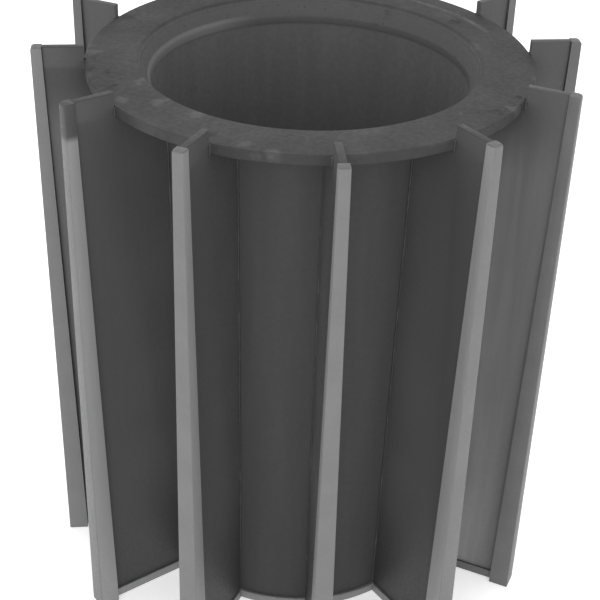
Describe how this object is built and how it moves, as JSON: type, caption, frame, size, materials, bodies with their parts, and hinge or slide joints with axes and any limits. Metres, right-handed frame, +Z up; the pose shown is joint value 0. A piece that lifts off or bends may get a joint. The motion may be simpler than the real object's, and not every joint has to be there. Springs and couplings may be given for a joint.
{
  "type": "francis turbine runner",
  "caption": "Tall turbine runner: upright radial blades with strips along their outer and lower edges, round a hollow hub drum, under a flat crown ring with a dished bore.",
  "frame": {"origin": "on the turning axis, level with the feet of the blades and the hub, on the floor the runner stands on", "axes": "+Z up along the turning axis to the crown ring; a blade points along each of +X, -X, +Y and -Y; -Y faces the viewer of the picture, turned about 6 degrees"},
  "size_m": [1.23, 1.23, 1.372],
  "materials": {
    "crown_steel": "rough cast, mottled grey",
    "seat_steel": "rough cast, mottled grey",
    "hub_steel": "dark, matt",
    "foot_steel": "matt grey",
    "blade_steel": "matt grey",
    "inlet_edge_steel": "lighter matt grey",
    "foot_edge_steel": "lighter matt grey"
  },
  "bodies": {
    "root": {"crown_ring": "crown_steel", "crown_seat_ring": "seat_steel", "hub_shell": "hub_steel", "hub_foot_ring": "foot_steel", "blade_01": "blade_steel", "blade_02": "blade_steel", "blade_03": "blade_steel", "blade_04": "blade_steel", "blade_05": "blade_steel", "blade_06": "blade_steel", "blade_07": "blade_steel", "blade_08": "blade_steel", "blade_09": "blade_steel", "blade_10": "blade_steel", "blade_11": "blade_steel", "blade_12": "blade_steel", "inlet_strip_01": "inlet_edge_steel", "inlet_strip_02": "inlet_edge_steel", "inlet_strip_03": "inlet_edge_steel", "inlet_strip_04": "inlet_edge_steel", "inlet_strip_05": "inlet_edge_steel", "inlet_strip_06": "inlet_edge_steel", "inlet_strip_07": "inlet_edge_steel", "inlet_strip_08": "inlet_edge_steel", "inlet_strip_09": "inlet_edge_steel", "inlet_strip_10": "inlet_edge_steel", "inlet_strip_11": "inlet_edge_steel", "inlet_strip_12": "inlet_edge_steel", "foot_strip_01": "foot_edge_steel", "foot_strip_02": "foot_edge_steel", "foot_strip_03": "foot_edge_steel", "foot_strip_04": "foot_edge_steel", "foot_strip_05": "foot_edge_steel", "foot_strip_06": "foot_edge_steel", "foot_strip_07": "foot_edge_steel", "foot_strip_08": "foot_edge_steel", "foot_strip_09": "foot_edge_steel", "foot_strip_10": "foot_edge_steel", "foot_strip_11": "foot_edge_steel", "foot_strip_12": "foot_edge_steel"}
  },
  "joints": []
}
